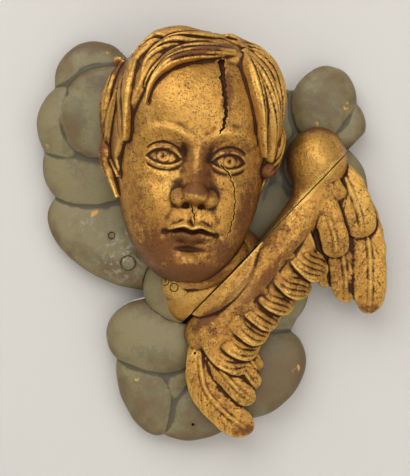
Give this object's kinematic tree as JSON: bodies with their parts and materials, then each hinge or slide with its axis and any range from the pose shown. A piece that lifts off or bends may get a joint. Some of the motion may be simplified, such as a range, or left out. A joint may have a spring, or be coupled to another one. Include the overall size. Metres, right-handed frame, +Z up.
{
  "type": "carved winged putto head on clouds",
  "caption": "Wall-hung carved and gilded child's head with one wing, set on a bank of painted wooden clouds.",
  "frame": {"origin": "on the flat back, behind the middle of the carving's width and height", "axes": "+Y into the wall, square to the flat back; +Z up; +X to the viewer's right"},
  "size_m": [0.3007, 0.1238, 0.3477],
  "materials": {
    "gilding": "worn gold leaf over red-brown bole on carved wood",
    "cloud_paint": "satin grey-green paint, browned by age, on carved wood"
  },
  "bodies": {
    "root": {"head": "gilding", "upper_clouds": "cloud_paint", "wing_and_lower_clouds": "gilding"}
  },
  "joints": []
}
